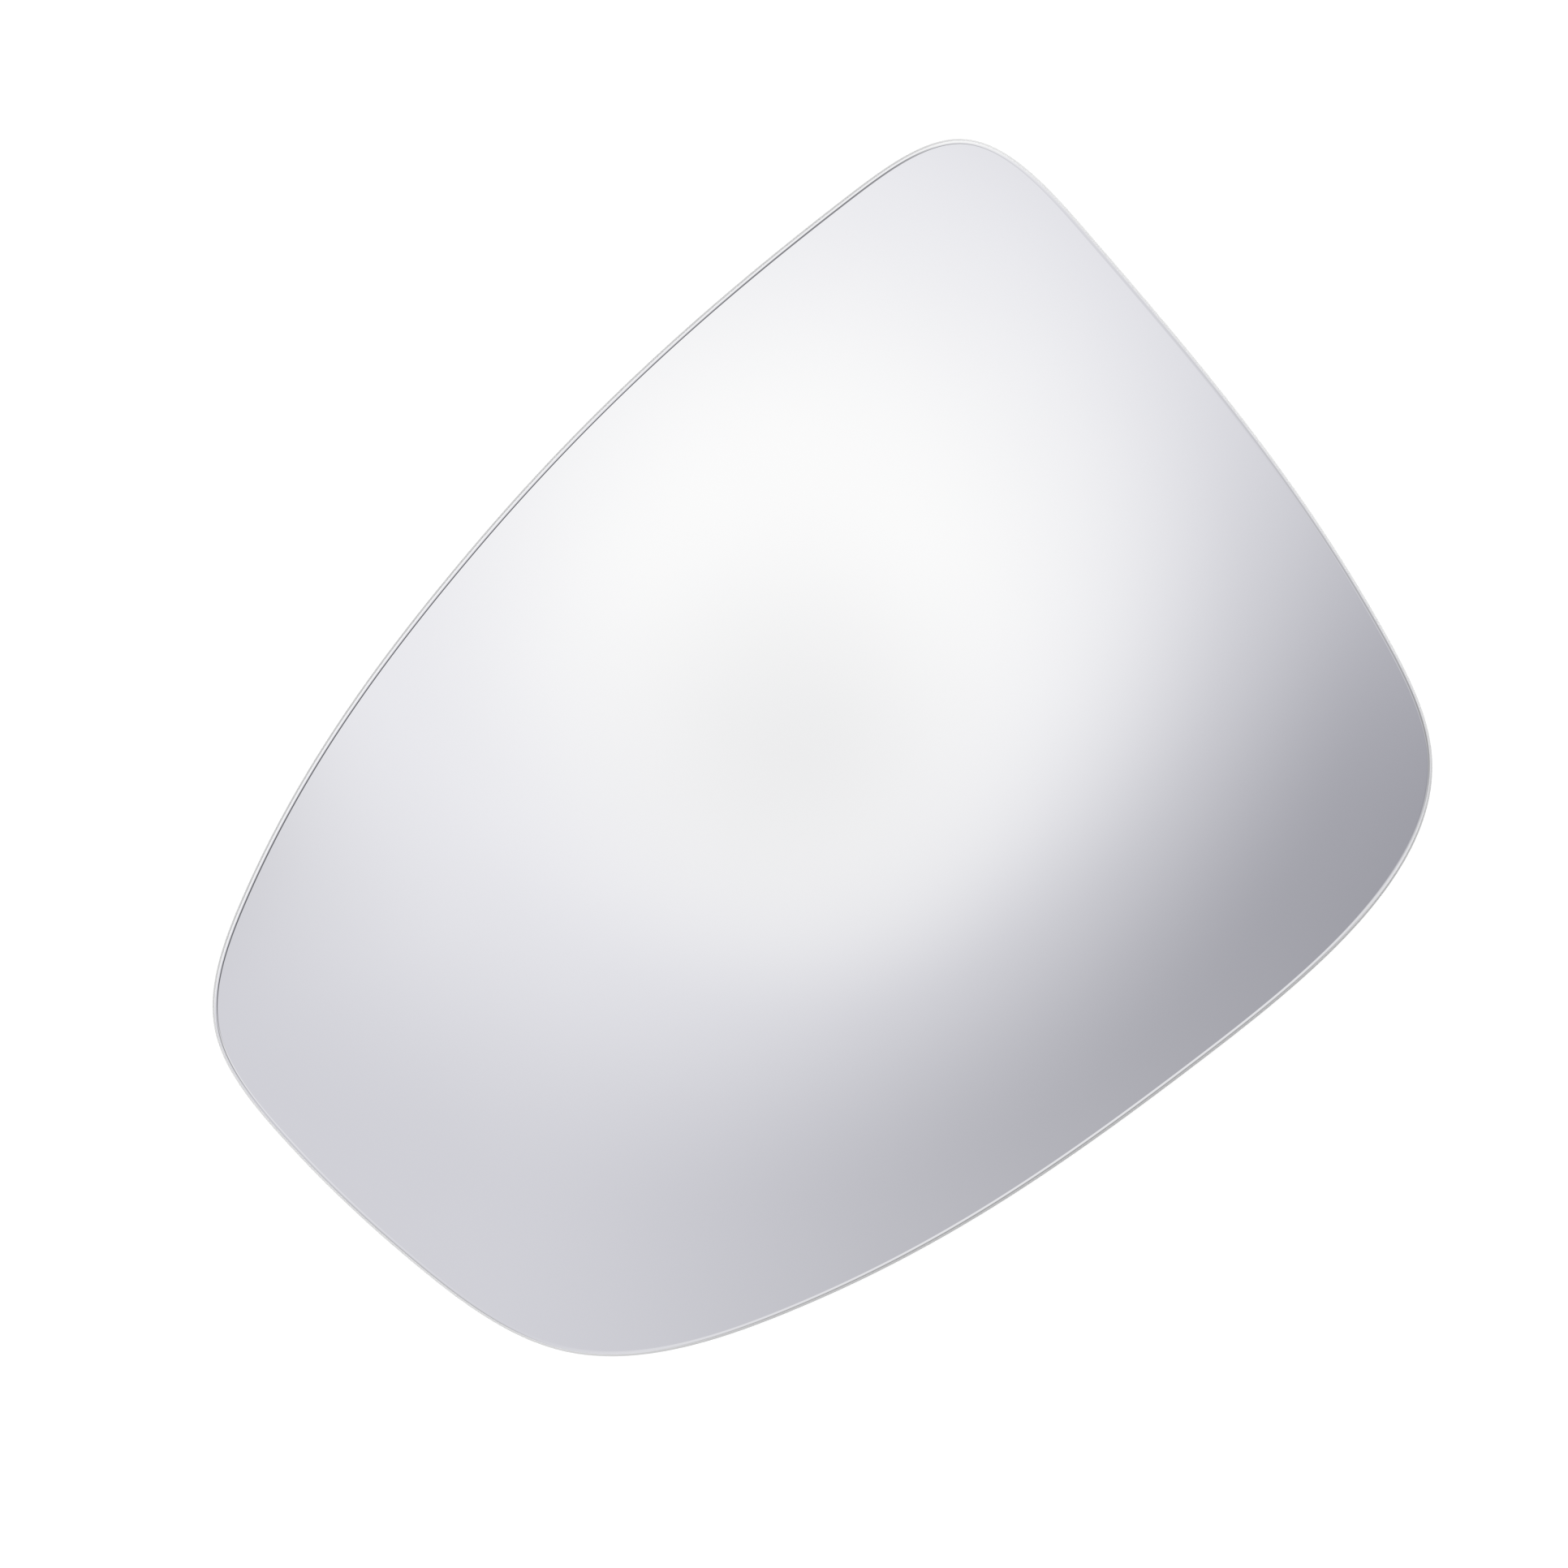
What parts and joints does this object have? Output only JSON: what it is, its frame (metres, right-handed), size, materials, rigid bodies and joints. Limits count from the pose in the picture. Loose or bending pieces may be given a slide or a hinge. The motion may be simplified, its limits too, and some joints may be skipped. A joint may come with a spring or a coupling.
{
  "type": "car door mirror glass",
  "caption": "Convex silvered glass for a car door mirror: a thin sheet bent to a sphere, cut to a rounded four-sided outline, with its edge ground round.",
  "frame": {"origin": "under the middle of the glass's box, on the surface that the glass lies on", "axes": "+Z out of the reflecting face, +X along the length towards the tall end, +Y towards the longest side"},
  "size_m": [0.18, 0.134, 0.0056],
  "materials": {
    "silvered_glass": "polished reflecting face, edge ground round, grey paint over the silvering on the back"
  },
  "bodies": {
    "root": {"mirror_glass": "silvered_glass"}
  },
  "joints": []
}
